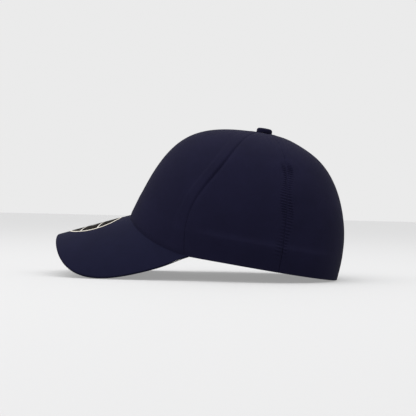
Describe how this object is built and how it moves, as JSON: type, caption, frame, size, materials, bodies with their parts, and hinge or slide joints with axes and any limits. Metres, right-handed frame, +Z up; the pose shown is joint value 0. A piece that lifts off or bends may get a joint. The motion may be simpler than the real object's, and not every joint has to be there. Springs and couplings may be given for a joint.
{
  "type": "baseball cap",
  "caption": "Closed-back stretch-fit cap with a seamless front panel, bent visor, covered button and inner sweatband.",
  "frame": {"origin": "under the middle of the cap, on the surface it rests on: the bottom centre of its box", "axes": "-Y is the front, where the visor points; +X is the wearer's left; +Z is up with the cap standing on the visor's sides and the back of the crown"},
  "size_m": [0.168, 0.2708, 0.1426],
  "materials": {
    "crown_cloth": "matte brushed stretch twill, dark navy",
    "visor_cloth": "matte brushed twill bonded to the visor board, dark navy",
    "buckram": "open stiffened mesh, off-white",
    "seam_tape": "narrow woven tape, dark navy",
    "stretch_web": "ribbed elastic webbing",
    "pad_foam": "thin foam laminated to cloth",
    "sweatband_cloth": "stretch sweatband cloth, dark navy",
    "label_satin": "white satin, blank",
    "visor_board": "moulded polyethylene sheet",
    "sticker_film": null,
    "button_steel": "pressed tin-plated steel"
  },
  "bodies": {
    "root": {"front_panel": "crown_cloth", "side_panel_left": "crown_cloth", "side_panel_right": "crown_cloth", "rear_panel_left": "crown_cloth", "rear_panel_right": "crown_cloth", "front_buckram": "buckram", "seam_tape_front_left": "seam_tape", "seam_tape_front_right": "seam_tape", "seam_tape_rear_left": "seam_tape", "seam_tape_rear_right": "seam_tape", "seam_tape_back": "seam_tape", "stretch_band": "stretch_web", "front_pad": "pad_foam", "sweatband": "sweatband_cloth", "care_label": "label_satin", "size_label": "label_satin", "visor_board": "visor_board", "visor_top_cover": "visor_cloth", "visor_under_cover": "visor_cloth", "visor_sticker": "sticker_film", "button_cover": "crown_cloth", "button_shell": "button_steel", "button_clip": "button_steel", "button_washer": "button_steel"}
  },
  "joints": []
}
